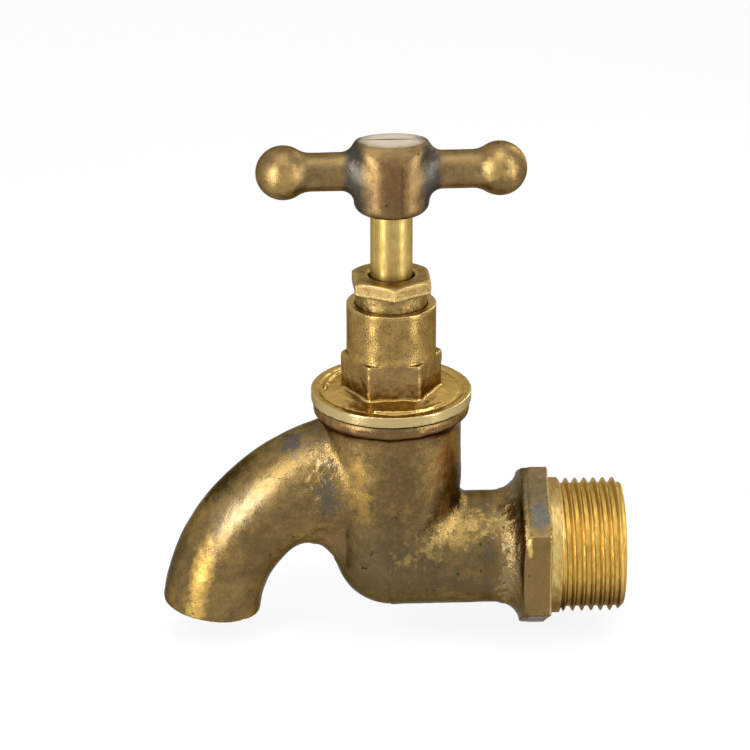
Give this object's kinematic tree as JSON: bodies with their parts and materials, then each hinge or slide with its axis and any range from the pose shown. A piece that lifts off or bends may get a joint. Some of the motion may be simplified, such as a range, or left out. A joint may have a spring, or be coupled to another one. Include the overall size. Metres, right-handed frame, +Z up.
{
  "type": "bib tap",
  "caption": "Brass bib tap with a threaded inlet, a hexagon shoulder, a bent spout, a screw-down valve under a bonnet and gland nut, and a ball-ended crutch handle.",
  "frame": {"origin": "centre of the inlet hexagon's outer shoulder, where the plain land before the thread begins", "axes": "+X out along the inlet thread, towards the supply pipe; +Z up along the valve spindle; the spout hangs towards -X"},
  "size_m": [0.0895, 0.0308, 0.1006],
  "materials": {
    "cast_brass": "tumbled casting with dark patina in its hollows",
    "turned_brass": "turned and milled, bright edges",
    "spindle_brass": "drawn bar, satin",
    "steel_screw": "blackened steel",
    "washer_rubber": "moulded rubber",
    "washer_fibre": "vulcanised fibre",
    "packing_yarn": "graphited yarn packing"
  },
  "bodies": {
    "tap": {"tap_body": "cast_brass", "bonnet_washer": "washer_fibre", "bonnet": "turned_brass", "packing_ring_1": "packing_yarn", "packing_ring_2": "packing_yarn", "packing_ring_3": "packing_yarn", "gland_follower": "turned_brass", "gland_nut": "turned_brass"},
    "jumper": {"jumper_valve": "spindle_brass", "tap_washer": "washer_rubber", "washer_plate": "spindle_brass", "washer_nut": "spindle_brass"},
    "spindle": {"spindle": "spindle_brass", "handle": "cast_brass", "handle_grub_screw": "steel_screw"}
  },
  "joints": [
    {"name": "valve_lift", "type": "slide", "parent": "tap", "child": "jumper", "axis": [0, 0, 1], "range_m": [0, 0.0066]},
    {"name": "spindle_turn", "type": "hinge", "parent": "jumper", "child": "spindle", "pos_m": [-0.0303, 0, 0.05], "axis": [0, 0, 1], "range_deg": [0, 1080]}
  ],
  "couplings": [
    {"joint": "valve_lift", "follows": "spindle_turn", "m_per_rad": 0.00035}
  ]
}
